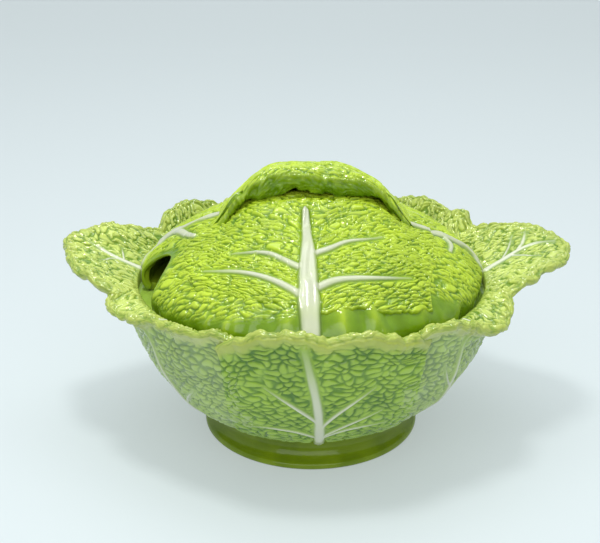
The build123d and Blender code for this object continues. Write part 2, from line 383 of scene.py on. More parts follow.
def bowl_leaf(name, outline, under_veins, top_veins, lift, spread, salt):
    """One leaf, from the foot up the outside of the bowl, round its rolled edge and back down inside.
    outline is the middle of that edge: (azimuth, radius, height, how steeply the leaf rises there)."""
    outline = np.array(outline, float)
    edge = np.c_[polar(outline[:, 1], outline[:, 0], outline[:, 2]), outline[:, 3]]
    rough = smooth_curve(edge, 200)
    length = np.linalg.norm(np.diff(rough[:, :3], axis=0), axis=1).sum()
    columns = int(length / STEP)
    edge = smooth_curve(edge, columns)
    steep, edge = np.radians(edge[:, 3]), edge[:, :3]
    along = np.linspace(0, length, columns)
    tangent = unit(np.gradient(edge, axis=0))
    outward = unit(np.stack([tangent[:, 1], -tangent[:, 0], 0 * along], axis=-1))
    outward *= np.sign(dot(outward, edge * [1, 1, 0]))[:, None]
    up = np.array([0, 0, 1.0])
    ruffle = ramp(0, 12, along) * ramp(0, 12, length - along)
    edge = edge + outward * (1.3 * crinkles(along, salt) * ruffle)[:, None]
    edge = edge + up * (1.8 * crinkles(along + 31, salt + 40) * ruffle)[:, None]
    forward = outward * np.cos(steep)[:, None] + up * np.sin(steep)[:, None]
    above = -outward * np.sin(steep)[:, None] + up * np.cos(steep)[:, None]
    roll = ROLL * (1 + 0.12 * drift(along / 9, 3, salt + 2))[:, None]

    first, last = outline[0, 0], outline[-1, 0]
    middle = (first + last) / 2
    root = np.linspace(first, last, columns)
    side = resample(leaf_side, int(95 / STEP))
    fan = 1 + spread * (1 - np.linspace(0, 1, len(side)))[None, :] ** 1.5
    wall = polar(side[None, :, 0], middle + (root - middle)[:, None] * fan, side[None, :, 1])

    radial = polar(np.ones(columns), root, np.zeros(columns))
    foot_of_flare = wall[:, -1]
    below, over = edge - above * roll, edge + above * roll
    reach = np.linalg.norm(below - foot_of_flare, axis=1)[:, None] * 0.36
    count = max(12, int(np.linalg.norm(below - foot_of_flare, axis=1).max() / STEP))
    flare = bezier(
        foot_of_flare,
        foot_of_flare + (radial * 0.28 + up * 0.96) * reach,
        below - forward * reach,
        below,
        np.linspace(0, 1, count + 1)[1:],
    )
    turns = np.linspace(0, PI, 20)[1:-1]
    tip = edge[:, None] + roll[:, None] * (
        -above[:, None] * np.cos(turns)[None, :, None] + forward[:, None] * np.sin(turns)[None, :, None]
    )
    gallery = polar(122.4, root, 113.6)
    reach = np.linalg.norm(over - gallery, axis=1)[:, None] * 0.36
    count = max(12, int(np.linalg.norm(over - gallery, axis=1).max() / STEP))
    start = np.maximum(np.radians(26), np.minimum(steep + np.radians(12), np.radians(80)))[:, None]
    inner = bezier(
        over,
        over - forward * reach,
        gallery + (radial * np.cos(start) + up * np.sin(start)) * reach,
        gallery,
        np.linspace(0, 1, count),
    )
    hidden = polar(back_side[None, 1:, 0], root[:, None], back_side[None, 1:, 1])
    points = np.concatenate([wall, flare, tip, inner, hidden], axis=1)
    parts = [wall.shape[1] + flare.shape[1], tip.shape[1], inner.shape[1], hidden.shape[1]]
    marks = np.cumsum(parts)
    rows = points.shape[1]
    row = np.arange(rows)[None, :]

    # Distances over the surface: s from the foot, p across the leaf, e from the roll, b from the leaf's sides.
    s = np.cumsum(np.linalg.norm(np.diff(points, axis=1, prepend=points[:, :1]), axis=2), axis=1)
    azimuth = np.degrees(np.arctan2(points[..., 1], points[..., 0]))
    turn = (azimuth - middle + 180) % 360 - 180
    p = np.hypot(points[..., 0], points[..., 1]) * np.radians(turn)
    is_under, is_tip = row < marks[0], (row >= marks[0]) & (row < marks[1])
    is_top = (row >= marks[1]) & (row < marks[2])
    e_under = s[:, marks[0] - 1][:, None] - s
    e_top = s - s[:, marks[1]][:, None]
    b = np.minimum(along, length - along)[:, None] * np.ones((1, rows))
    m = math.radians(middle)
    q_plan = points[..., 0] * math.cos(m) + points[..., 1] * math.sin(m)
    p_plan = -points[..., 0] * math.sin(m) + points[..., 1] * math.cos(m)

    relief, ridge = np.zeros(s.shape), np.full(s.shape, 0.5)
    vein, rim = np.zeros(s.shape), np.zeros(s.shape)
    smooth_edge = 3.6 + 2.6 * drift(along / 10, 5, salt + 3)[:, None]
    u = slice(0, marks[0])
    bend = [1.3 * drift(p[:, u] / 8, s[:, u] / 8, salt + i) for i in (11, 12)]
    pattern = blisters(p[:, u] * 0.92 + bend[0], s[:, u] * 1.1 + bend[1], salt + 5)
    rib, clear, white = vein_field(p[:, u], s[:, u], under_veins)
    strength = ramp(0.3, 2.6, clear) * ramp(smooth_edge - 2, smooth_edge + 5, e_under[:, u]) * ramp(0.5, 4, s[:, u])
    groove = 0.35 * np.exp(-(((clear - 0.7) / 0.9) ** 2)) * (clear > 0)
    swell = 0.7 * drift(p[:, u] / 22, s[:, u] / 22, salt + 6)
    relief[:, u] = 1.7 * (pattern - 0.5) * strength + rib - groove + swell
    ridge[:, u] = 0.62 + (pattern - 0.62) * strength
    vein[:, u] = np.maximum(white * ramp(4, 60, e_under[:, u]) ** 0.5 * 0.95, 0.8 * (1 - ramp(0.6, 2.4, s[:, u])))
    vein[:, u] = np.maximum(vein[:, u], 0.0 if name == "leaf_front" else 0.2)
    rim[:, u] = 1 - ramp(smooth_edge - 3, smooth_edge + 5, e_under[:, u])

    t = slice(marks[1], marks[2])
    pattern = wrinkles(s[:, marks[2] - 1][:, None] - s[:, t], p[:, t], salt + 7)
    rib, clear, white = vein_field(q_plan[:, t], p_plan[:, t], top_veins)
    strength = ramp(0.2, 2.6, clear)
    wet = ramp(0, 6, s[:, marks[2] - 1][:, None] - s[:, t])
    relief[:, t] = 1.7 * (pattern - 0.3) * strength * (0.3 + 0.7 * wet) + 0.9 * rib
    ridge[:, t] = 0.28 + (pattern - 0.28) * strength * wet + 0.2 * (1 - wet)
    # Painted light: the tops of the leaves at the back are coloured lighter, standing in for the light that the lid
    # keeps off them.
    ridge[:, t] += 0.16 * (20 < middle % 360 < 160)
    vein[:, t] = white
    rim[:, t] = 0.5 * (1 - ramp(0, 6, e_top[:, t]))

    k = slice(marks[0], marks[1])
    lumps = 0.6 * drift(along[:, None] / 5.5, row[:, k] / 16.0, salt + 8)
    lumps = lumps + 0.5 * drift(along[:, None] / 2.6, row[:, k] / 7.0, salt + 9) * ramp(-0.2, 0.4, drift(along / 13, 7, salt + 9))[:, None]
    fold = wrinkles(along[:, None] * 1.1, row[:, k] * 0.55, salt + 10) - 0.7
    relief[:, k] = (1.5 * lumps + 1.1 * fold) * np.linspace(0.15, 1, parts[1])[None, :]
    ridge[:, k] = 0.5 + 0.6 * lumps + 0.5 * fold
    rim[:, k] = np.clip(0.9 - 0.4 * np.linspace(0, 1, parts[1])[None, :] + 0.3 * lumps + 0.5 * fold, 0, 1)

    shell = is_under | is_tip | is_top
    edge_fall = 1 - np.sqrt(np.clip(1 - (1 - np.clip(b / 3.0, 0, 1)) ** 2, 0, 1))
    relief = np.where(shell, relief * ramp(0.5, 4, b) + lift * is_under - (1.2 + lift) * edge_fall * is_under, 0)
    relief *= np.where(is_under, ramp(-0.5, 2.0, s), 1)
    normals = loft_normals(points)
    flip = np.sign(dot(normals[columns // 2, 60], points[columns // 2, 60] * [1, 1, 0]))
    points = points + normals * flip * relief[..., None]
    fields = {
        "ridge": np.clip(ridge, 0, 1),
        "vein": np.clip(vein, 0, 1),
        "rim": np.clip(rim, 0, 1),
        "under": np.where(is_under, ramp(0, 8, e_under), 0.0) * (is_under | is_tip),
    }
    loft_piece(name, points, fields, leaf_glaze, "tureen", name, "leaf_glaze")


def fan_veins(tilt=0.0):
    """Rib and side veins on the outside of a leaf: points are (across, up from the foot)."""
    veins = [([(tilt, 12), (0, 50), (-0.6 * tilt, 85), (-tilt, 118)], 2.9, 2.0)]
    for side in (-1, 1):
        veins.append(([(0, 30), (side * 14, 39), (side * 28, 43), (side * 42, 42)], 1.1, 0.6))
        veins.append(([(0, 48), (side * 10, 61), (side * 22, 73), (side * 34, 84)], 1.5, 0.6))
        veins.append(([(-0.4 * tilt, 76), (side * 9, 90), (side * 20, 102)], 1.1, 0.5))
    return veins


front_veins = [
    ([(-0.5, 1), (-2, 38), (-4.5, 68), (-9.5, 96), (-13.5, 115)], 3.6, 2.3),
    ([(-3, 50), (-14, 63), (-26, 74), (-38, 83)], 1.5, 0.6),
    ([(-1, 45), (7, 58), (19, 71), (32, 82)], 1.5, 0.6),
    ([(-3, 29), (-16, 37), (-31, 39.5), (-48, 36)], 1.1, 0.6),
    ([(0, 29), (15, 39), (25, 41), (42, 42)], 1.1, 0.6),
    ([(0, 31), (12, 43), (24, 51), (38, 58)], 1.1, 0.6),
]
left_handle_veins = [
    ([(123, 8), (136, 9), (147, 7.5), (160, 4)], 2.9, 0.95),
    ([(134, 9), (137, 1), (140, -7)], 0.8, 0.4),
    ([(138, 9), (143, 17), (147, 25)], 0.7, 0.4),
]
right_handle_veins = [
    ([(124, -9), (137, -5), (150, 0), (163, 1), (175, -2)], 2.6, 0.95),
    ([(149, 0), (155, 8), (159, 17)], 1.6, 0.8),
    ([(136, -5), (144, 7), (150, 19)], 0.8, 0.4),
    ([(144, -3), (153, -10), (161, -17)], 0.8, 0.4),
]
corner_top_veins = [([(126, 0), (133, 0.5), (139, 0)], 1.3, 0.6)]

bowl_leaf(
    "leaf_front",
    [
        (243, 129.5, 112, 60),
        (246.5, 131.5, 117, 66),
        (251, 132.5, 122.5, 70),
        (256, 133, 126.2, 72),
        (262, 132.5, 128, 72),
        (269, 131.5, 126, 72),
        (275, 131, 124, 72),
        (281, 132, 125.4, 72),
        (286, 132.5, 125.6, 72),
        (290, 132.2, 123, 70),
        (294, 132, 120, 68),
        (299, 131.5, 117.5, 64),
        (304, 129.5, 114, 60),
    ],
    front_veins,
    [],
    lift=1.2,
    spread=0.28,
    salt=100,
)
bowl_leaf(
    "leaf_front_left",
    [
        (193, 133.5, 116, 25),
        (197, 140.5, 116.5, 18),
        (200.5, 145.0, 114.2, 8),
        (204.5, 145.2, 112.0, 4),
        (209.5, 141.6, 111.8, 8),
        (215, 138, 113, 15),
        (221, 133, 115.5, 26),
        (227, 131.2, 116.5, 38),
        (235, 130.2, 118.5, 50),
        (241, 129.8, 119.5, 58),
        (246, 129.3, 118.5, 60),
        (250, 128, 115, 60),
    ],
    [([(-8, 4), (-12, 50), (-16, 85), (-18, 112)], 2.4, 1.4), ([(-10, 34), (2, 48), (15, 60)], 1.0, 0.5)],
    corner_top_veins,
    lift=0.4,
    spread=0.0,
    salt=200,
)
bowl_leaf(
    "leaf_front_right",
    [
        (298, 129, 114, 60),
        (301, 130.5, 118, 58),
        (304, 132, 121.5, 55),
        (309, 133.5, 121, 48),
        (315, 135.5, 117.5, 36),
        (320, 138, 112.5, 22),
        (324, 141.8, 109.5, 10),
        (328, 145.5, 108.8, 2),
        (332, 146, 111, 4),
        (336, 143.5, 114.5, 12),
        (340, 138, 117, 20),
        (344, 133, 116, 26),
    ],
    [
        ([(6, 4), (3, 50), (-3, 85), (-7, 112)], 2.6, 1.6),
        ([(4, 36), (14, 52), (22, 66)], 1.2, 0.6),
        ([(2, 56), (-10, 70), (-17, 82)], 1.0, 0.5),
    ],
    corner_top_veins,
    lift=0.5,
    spread=0.0,
    salt=300,
)
bowl_leaf(
    "leaf_left_handle",
    [
        (144, 130.5, 113, 40),
        (147, 134, 116, 36),
        (150, 138.5, 119.8, 30),
        (154, 142, 124.2, 26),
        (158.5, 147, 128, 22),
        (163.5, 156, 132.2, 18),
        (168, 166.5, 133.2, 14),
        (172, 174.8, 132.6, 12),
        (175.3, 175.8, 131.2, 12),
        (179.5, 170.3, 129.3, 14),
        (184.5, 167.6, 127.5, 14),
        (188.5, 163.5, 126, 14),
        (192.5, 155, 124.5, 14),
        (196, 145.6, 121.5, 18),
        (199.5, 137, 117, 25),
    ],
    fan_veins(),
    left_handle_veins,
    lift=0.9,
    spread=0.05,
    salt=400,
)
bowl_leaf(
    "leaf_right_handle",
    [
        (338.5, 133, 115, 25),
        (342, 140, 117, 20),
        (345, 147, 120.5, 14),
        (348.3, 153.5, 122.5, 10),
        (351, 159.0, 125.2, 8),
        (354, 168.0, 126, 8),
        (357.5, 177.0, 127, 8),
        (361, 180.6, 128.3, 10),
        (365, 181.0, 130, 12),
        (369, 177.3, 131.6, 14),
        (373, 170, 132.4, 16),
        (377, 161, 131.6, 20),
        (382, 150.5, 129, 26),
        (387, 144, 125, 32),
        (390.5, 138.5, 119, 36),
        (394, 132, 115, 40),
    ],
    fan_veins(),
    right_handle_veins,
    lift=0.9,
    spread=0.05,
    salt=500,
)
bowl_leaf(
    "leaf_back_right",
    [
        (25, 131.5, 114, 55),
        (28, 136, 121, 52),
        (31, 139.5, 129, 50),
        (35, 139.5, 132, 52),
        (39, 137.5, 130.5, 55),
        (42, 136, 132, 58),
        (47, 135, 134, 60),
        (52, 134.5, 133, 60),
        (58, 133.5, 128.5, 60),
        (64, 133.5, 129, 62),
        (70, 133, 130.5, 62),
        (75, 132, 128.5, 62),
        (79, 130, 121, 62),
    ],
    fan_veins(4),
    [],
    lift=0.4,
    spread=0.0,
    salt=600,
)
bowl_leaf(
    "leaf_back",
    [
        (70, 129.5, 120, 64),
        (74, 132, 126.5, 66),
        (80, 132.8, 129.5, 68),
        (87, 132, 128, 68),
        (93, 132.8, 130, 68),
        (100, 133.2, 130.5, 68),
        (107, 132, 128, 68),
        (113, 132.5, 130, 68),
        (118, 132.2, 129.5, 66),
        (122, 131, 124.5, 64),
        (125.5, 129, 118, 62),
    ],
    fan_veins(-6),
    [],
    lift=1.1,
    spread=0.22,
    salt=700,
)
bowl_leaf(
    "leaf_back_left",
    [
        (117.5, 129.5, 119, 62),
        (121, 132, 125, 62),
        (125, 132.8, 127.5, 62),
        (128, 133.2, 128.5, 60),
        (131, 133.6, 131.5, 58),
        (135, 134.2, 132.5, 56),
        (139, 134.8, 132, 54),
        (143, 135.5, 129.5, 52),
        (146, 135.5, 124.5, 52),
        (149, 134, 117.5, 52),
        (152, 131, 113.5, 52),
    ],
    [([(2, 14), (0, 50), (-3, 85), (-4, 112)], 2.6, 1.8)] + fan_veins()[1:],
    [],
    lift=0.5,
    spread=0.0,
    salt=800,
)

# --- lid ----------------------------------------------------------------------------------------
LID_PROFILE = [(0.01, 169), (30, 166.5), (60, 158.5), (84.3, 147.5), (101.8, 136.8), (110.4, 130), (115.2, 125), (118.7, 120)]
lid_curve = smooth_curve(LID_PROFILE + [(119.6, 115), (118.8, 109), (116.8, 105.6)], 900)
lid_length = np.r_[0, np.cumsum(np.linalg.norm(np.diff(lid_curve, axis=0), axis=1))]
lid_tangent = unit(np.gradient(lid_curve, axis=0))
LID_RIM = lid_length[-1] - 1.2
LID_WALL = 5.2


def swelling(x, y):
    """The dome's leaves rise a little to meet the lip of the leaf handle."""
    return 8.6 * ramp(-47, -24, y) * ramp(14, -10, y) * ramp(68, 34, np.abs(x - 2))


def lid_points(x, y, lift):
    """Points over the dome from its unrolled plan, whose distance from the middle is measured down the dome."""
    lift = lift + np.where(np.asarray(lift) > -3, swelling(x, y), 0)
    rho, azimuth = np.hypot(x, y), np.arctan2(y, x)
    radius, height = (np.interp(rho, lid_length, lid_curve[:, i]) for i in (0, 1))
    slope_r, slope_z = (np.interp(rho, lid_length, lid_tangent[:, i]) for i in (0, 1))
    size = np.hypot(slope_r, slope_z)
    radius, height = radius - slope_z / size * lift, height + slope_r / size * lift
    return np.stack([radius * np.cos(azimuth), radius * np.sin(azimuth), height], axis=-1)


def unroll(points):
    """Plan points on the dome, in millimetres from the axis, as points of its unrolled plan."""
    p = np.asarray(points, float)
    radius = np.hypot(p[:, 0], p[:, 1])
    widest = lid_curve[:, 0].argmax()
    rho = np.interp(radius, lid_curve[:widest, 0], lid_length[:widest])
    return p * (rho / np.maximum(radius, 1e-6))[:, None]


def lid_veins(veins):
    return [(unroll(points), 1.3 * start, 1.15 * end) for points, start, end in veins]


MIDRIB = lid_veins([([(-4.2, -33), (-3.9, -41), (-3.5, -51), (-3.0, -64), (-2.9, -79.6), (-2.7, -93.5), (-2.1, -106), (-1.2, -118)], 1.5, 7)])
MIDRIB = [(np.c_[MIDRIB[0][0], [2.4, 2.8, 3.4, 4.5, 5.9, 7.0, 7.2, 7.0]], 0, 9)]
LID_VEINS = lid_veins(
    [
        ([(-6, -80), (-17.6, -72.1), (-24.1, -66.9), (-32.6, -62.5), (-40.5, -60.1), (-52, -57)], 1.9, 0.8),
        ([(-7, -98), (-17.4, -90.6), (-27, -84.5), (-36.7, -79.6), (-46.4, -75.2), (-58.3, -69.8), (-70, -64)], 2.2, 0.8),
        ([(0, -69), (11.4, -62.9), (21.3, -55.4), (29.3, -51.7), (34.7, -49.2), (46, -43)], 1.8, 0.8),
        ([(3, -93.2), (14.1, -87.7), (23.6, -85.1), (36.4, -82.4), (49.5, -78.6), (63, -73)], 2.2, 0.8),
        ([(-50, 0), (-62, 2), (-71, 4.8), (-78.4, 8.2), (-85.8, 10.5), (-93.6, 13)], 1.8, 3.2),
        ([(-93.6, 13), (-99.4, 14), (-104.5, 13.5), (-109.4, 11), (-114, 7), (-118.4, 0)], 3.2, 2.4),
        ([(-95, 12), (-89, -1.6), (-83.8, -12.5), (-79.7, -19.6)], 2.7, 1.9),
        ([(62, -13.3), (66, -12.2), (71.2, -10.6), (77.7, -8.8), (83.9, -6.8), (90.3, -3.3)], 1.6, 2.8),
        ([(90.3, -3.3), (97.2, -0.3), (103.3, 2), (108.6, 3), (113.5, 2), (118.4, -3)], 2.8, 2.4),
        ([(91, -3), (95, -9), (96, -15), (94.5, -23)], 2.3, 1.2),
        ([(1, 48), (0, 74), (1, 98), (0, 119)], 2.2, 4.6),
        ([(1, 64), (-15, 76), (-33, 84), (-50, 88)], 1.5, 0.6),
        ([(1, 64), (17, 77), (34, 85), (52, 88)], 1.5, 0.6),
        ([(0, 86), (-15, 96), (-32, 103), (-48, 105)], 1.5, 0.6),
        ([(0, 86), (15, 97), (33, 103), (50, 104)], 1.5, 0.6),
        ([(-38, 46), (-52, 62), (-66, 78)], 1.0, 0.5),
        ([(40, 44), (56, 60), (70, 76)], 1.0, 0.5),
    ]
)
NOTCH_AZIMUTH, NOTCH_HALF = 195.0, 22.5
NOTCH_TOP_Z, NOTCH_SHOULDER_Z = 138.6, 114.0


def rho_at(height):
    return np.interp(-height, -lid_curve[:, 1], lid_length)


def notch_curve():
    """The arch's outline in the unrolled plan, from one foot over the top to the other."""
    turns = np.linspace(0, PI, 60)
    across = np.r_[-NOTCH_HALF, -NOTCH_HALF * np.cos(turns), NOTCH_HALF]
    height = np.r_[106.0, NOTCH_SHOULDER_Z + (NOTCH_TOP_Z - NOTCH_SHOULDER_Z) * np.sin(turns), 106.0]
    rho = rho_at(height)
    rho[[0, -1]] = LID_RIM
    azimuth = NOTCH_AZIMUTH + np.degrees(across / 115.0)
    return np.stack([azimuth, rho], axis=-1)


def dome_relief(x, y, salt):
    """Relief of the leaves moulded into the dome itself, outside the front leaf."""
    rho, azimuth = np.hypot(x, y), np.degrees(np.arctan2(y, x)) % 360
    radius = np.interp(rho, lid_length, lid_curve[:, 0])
    height = np.interp(rho, lid_length, lid_curve[:, 1])
    rib, clear, white = vein_field(x, y, LID_VEINS)
    stem, stem_clear, stem_white = vein_field(x, y, MIDRIB)
    clear, white = np.minimum(clear, stem_clear), np.maximum(white, stem_white)
    rib = np.maximum(rib, stem + 2.0 * ramp(1.2, -1.0, stem_clear))
    pattern = wrinkles(x * 0.86 + 0.28 * y, y * 0.98, salt)
    low = np.interp(azimuth, [0, 222, 245, 262, 275, 312, 330, 360], [113, 113, 122, 127, 131, 129, 113, 113])
    rough = ramp(low, low + 9, height) * ramp(0.2, 3.0, clear)
    turn = (azimuth - NOTCH_AZIMUTH) * 2.0
    notch = ramp(22, 30, np.hypot(turn, np.maximum(height - NOTCH_SHOULDER_Z, 0) * 0.95))
    rough = rough * notch
    soft = drift(azimuth / 4.6, height / 22, salt + 3) * 1.3 + drift(azimuth / 2.2, height / 10, salt + 4) * 0.6
    relief = 1.8 * (pattern - 0.3) * rough + soft * (1 - 0.6 * rough) * ramp(106, 112, height) + rib
    relief -= 0.3 * np.exp(-(((clear - 0.6) / 0.9) ** 2)) * (clear > 0)
    ridge = pattern * rough + (0.2 + 0.25 * soft) * (1 - rough)
    return relief, ridge, white, ramp(low + 7, low - 2, height) * (0.75 - 0.4 * soft)


def dome_sector(name, start, end, boundary, salt):
    """One part of the lid's wall. boundary is its lower edge in the unrolled plan, as (azimuth, distance)."""
    lower = np.stack([boundary[:, 1] * np.cos(np.radians(boundary[:, 0])), boundary[:, 1] * np.sin(np.radians(boundary[:, 0]))], axis=-1)
    length = np.linalg.norm(np.diff(lower, axis=0), axis=1).sum()
    columns = int(length / (STEP * 1.15))
    lower = resample(lower, columns)
    inset = unit(np.gradient(lower, axis=0)) @ np.array([[0, -1], [1, 0]])
    turn = np.radians(np.linspace(start, end, columns))
    ring = np.stack([np.cos(turn), np.sin(turn)], axis=-1)
    waist = 78.0
    rows_in, rows_out = int(waist / STEP * 0.7), int((LID_RIM - waist) / STEP * 0.95)
    radii = np.linspace(1.0, waist, rows_in)[None, :, None]
    upper = ring[:, None] * radii
    t = np.linspace(0, 1, rows_out + 1)[1:][None, :, None]
    start_point, end_point = ring[:, None] * waist, lower[:, None]
    knee = ring[:, None] * (waist + 0.45 * (np.linalg.norm(end_point, axis=-1, keepdims=True) - waist))
    skirt = start_point * (1 - t) ** 2 + 2 * knee * t * (1 - t) + end_point * t**2
    plan = np.concatenate([upper, skirt], axis=1)
    x, y = plan[..., 0], plan[..., 1]
    relief, ridge, white, band = dome_relief(x, y, 900)
    edge_distance = np.linalg.norm(plan - lower[:, None], axis=-1)
    near_edge = ramp(0, 4, edge_distance)
    outer = lid_points(x, y, relief * near_edge)
    coarse = np.unique(np.r_[np.arange(0, plan.shape[1], 5), plan.shape[1] - 1])[::-1]
    cut = ramp(0, 9, LID_RIM - np.hypot(lower[:, 0], lower[:, 1]))[:, None]
    inner = lid_points(x[:, coarse], y[:, coarse], 3.1 * cut * ramp(16, 2, edge_distance[:, coarse]) - LID_WALL)
    centre = (outer[:, -1] + inner[:, 0]) / 2
    half = (outer[:, -1] - inner[:, 0]) / 2
    out = unit(outer[:, -1] - outer[:, -3])
    out = unit(out - dot(out, unit(half))[:, None] * unit(half))
    turns = np.linspace(0, PI, 11)[1:-1][None, :, None]
    roll = centre[:, None] + half[:, None] * np.cos(turns) + out[:, None] * np.linalg.norm(half, axis=1)[:, None, None] * np.sin(turns)
    points = np.concatenate([outer, roll, inner], axis=1)
    pad = points.shape[1] - outer.shape[1]
    shape = (columns, pad)
    fields = {
        "ridge": np.clip(np.concatenate([ridge, np.full(shape, 0.4)], axis=1), 0, 1),
        "vein": np.concatenate([white * ramp(-1, 1.5, edge_distance), np.zeros(shape)], axis=1),
        "rim": np.concatenate([np.clip(band, 0, 1), np.full((columns, roll.shape[1]), 0.25), np.zeros((columns, inner.shape[1]))], axis=1),
    }
    loft_piece(name, points, fields, lid_glaze, "lid", "lid", "lid_glaze")


def plain_edge(start, end):
    return np.stack([np.linspace(start, end, 200), np.full(200, LID_RIM)], axis=-1)


arch = notch_curve()
left_edge = np.concatenate([plain_edge(115, arch[0, 0]), arch, plain_edge(arch[-1, 0], 240)])
dome_sector("lid_left", 115, 240, left_edge, 900)
dome_sector("lid_front", 240, 300, plain_edge(240, 300), 900)
dome_sector("lid_right", 300, 425, plain_edge(300, 425), 900)
dome_sector("lid_back", 65, 115, plain_edge(65, 115), 900)

# The ring under the lid that rests on the ledge and centres the lid; it is open at the notch.
ring_profile = rounded(
    [(105.6, 97.4), (106.4, 97.2), (108.6, 97.2), (109.4, 97.8), (109.5, 103.6), (110, 104.2), (116.6, 104.2)]
    + [(117.6, 105.2), (117.4, 107.6), (116.2, 109.2), (112, 109.6), (107.6, 108.6), (105.2, 106), (105, 98)],
    60,
)
ring_half = math.degrees(NOTCH_HALF / 115.0) + 1.0
ring_turn = np.linspace(NOTCH_AZIMUTH + ring_half, NOTCH_AZIMUTH - ring_half + 360, 360)[:, None]
ring_points = polar(ring_profile[None, :, 0], ring_turn, ring_profile[None, :, 1])
loft_piece("lid_seat_ring", ring_points, {"ridge": np.full(ring_points.shape[:2], 0.45)}, lid_glaze, "lid", "lid", "lid_glaze")


def front_leaf_sheet():
    """The big leaf laid over the front of the dome, with a thin free edge."""
    top = unroll(smooth_curve([(-74, 3), (-60, 14), (-38, 22), (0, 27), (43, 20), (64, 9), (79, -4)], 300))
    low_edge = [(-80, -62), (-75, -75), (-56, -87.5), (-42, -95), (-26, -100), (-9, -104), (7, -108.5), (18, -105.5), (40, -102)]
    bottom = unroll(smooth_curve(low_edge + [(55, -98), (68, -92.5), (77, -87.5)], 300))
    left = unroll(smooth_curve([(-74, 3), (-82, -8), (-87, -24), (-86, -44), (-80, -62)], 300))
    right = unroll(smooth_curve([(79, -4), (85, -16.6), (85, -38), (79, -62), (76.5, -76), (77, -87.5)], 300))
    length = np.linalg.norm(np.diff(bottom, axis=0), axis=1).sum()
    columns, rows = int(length / STEP / 0.9), int(150 / STEP / 0.9)
    top, bottom = resample(top, columns), resample(bottom, columns)
    left, right = resample(left, rows), resample(right, rows)
    wave = 1.0 * drift(np.arange(columns) * STEP / 6, 0, 31) + 0.7 * drift(np.arange(columns) * STEP / 2.5, 0, 32)
    bottom = bottom * (1 + wave / 125)[:, None]
    u, v = np.linspace(0, 1, columns)[:, None, None], np.linspace(0, 1, rows)[None, :, None]
    plan = (1 - v) * top[:, None] + v * bottom[:, None] + (1 - u) * left[None] + u * right[None]
    plan -= (1 - u) * (1 - v) * top[0] + u * (1 - v) * top[-1] + (1 - u) * v * bottom[0] + u * v * bottom[-1]
    x, y = plan[..., 0], plan[..., 1]
    across = np.linalg.norm(np.diff(plan, axis=0, prepend=plan[:1]), axis=-1).cumsum(axis=0)
    down = np.linalg.norm(np.diff(plan, axis=1, prepend=plan[:, :1]), axis=-1).cumsum(axis=1)
    b = np.minimum(np.minimum(across, across[-1:] - across), np.minimum(down, down[:, -1:] - down))
    rib, clear, white = vein_field(x, y, LID_VEINS)
    _, stem_clear, _ = vein_field(x, y, MIDRIB)
    clear = np.minimum(clear, stem_clear)
    lean = y - 0.45 * np.sqrt(x * x + 30)
    pattern = wrinkles(x * 0.95, lean * 1.05, 950)
    rough = ramp(0.3, 3.2, clear) * ramp(0.4, 3.5, b)
    swell = 0.8 * drift(x / 24, lean / 17, 951)
    margin = 0.9 * np.exp(-(((b - 1.6) / 1.1) ** 2))
    relief = 2.0 * (pattern - 0.32) * rough + rib + swell * ramp(1, 12, b) + 1.0 + margin * 0.6
    relief -= 0.35 * np.exp(-(((clear - 0.7) / 0.9) ** 2)) * (clear > 0)
    fall = 1 - np.sqrt(np.clip(1 - (1 - np.clip(b / 2.4, 0, 1)) ** 2, 0, 1))
    side = ramp(60, 84, np.abs(x)) * ramp(-84, -60, y)
    relief = relief * (1 - fall) - 1.3 * fall - 0.8 * side * ramp(8, 0, b)
    relief = relief - 4.0 * ramp(0.7, -0.8, stem_clear)
    outer = lid_points(x, y, relief)
    coarse = np.unique(np.r_[np.arange(0, rows, 8), rows - 1])[::-1]
    inner = lid_points(x[:, coarse], y[:, coarse], -1.6)
    points = np.concatenate([outer, inner], axis=1)
    shape = (columns, len(coarse))
    ridge = 0.3 + (pattern - 0.3) * rough + 0.3 * margin
    fields = {
        "ridge": np.clip(np.concatenate([ridge, np.full(shape, 0.3)], axis=1), 0, 1),
        "vein": np.concatenate([white, np.zeros(shape)], axis=1),
        "rim": np.zeros(points.shape[:2]),
    }
    loft_piece("lid_front_leaf", points, fields, lid_glaze, "lid", "lid", "lid_glaze")


front_leaf_sheet()

# --- leaf handle on the lid ---------------------------------------------------------------------
# Heights above the dome of the folded leaf's back, of its crest and of its lip's lower edge, along X.
HANDLE_BACK = [(-69, -4), (-62, 3.5), (-54, 10), (-46, 16), (-39, 21), (-32, 24.6), (-24, 26.4), (-14, 26.2)]
HANDLE_BACK += [(-2, 25.5), (9, 25.8), (18, 26.2), (27, 24.4), (36, 21), (46, 17.2), (56, 9.5), (64, 3)]
HANDLE_BACK += [(72, -4)]
HANDLE_CREST = [(-69, -4), (-62, 2.6), (-56, 8.6), (-50, 15), (-42, 22), (-34, 26.4), (-20, 28.4), (-5, 27.8)]
HANDLE_CREST += [(8, 26.2), (22, 25.2), (35, 24), (45, 21), (54, 14), (63, 4), (72, -4)]
HANDLE_LIP = [(-69, -9), (-62, -1), (-56, 6), (-50, 13), (-39, 12.6), (-27, 11.2), (-18, 14.2), (-5, 15.8)]
HANDLE_LIP += [(9, 12.8), (20, 10.6), (32, 12), (42, 14.2), (48, 14.6), (54, 9.5), (63, -1.5), (72, -9)]
HANDLE_THICK = 4.6


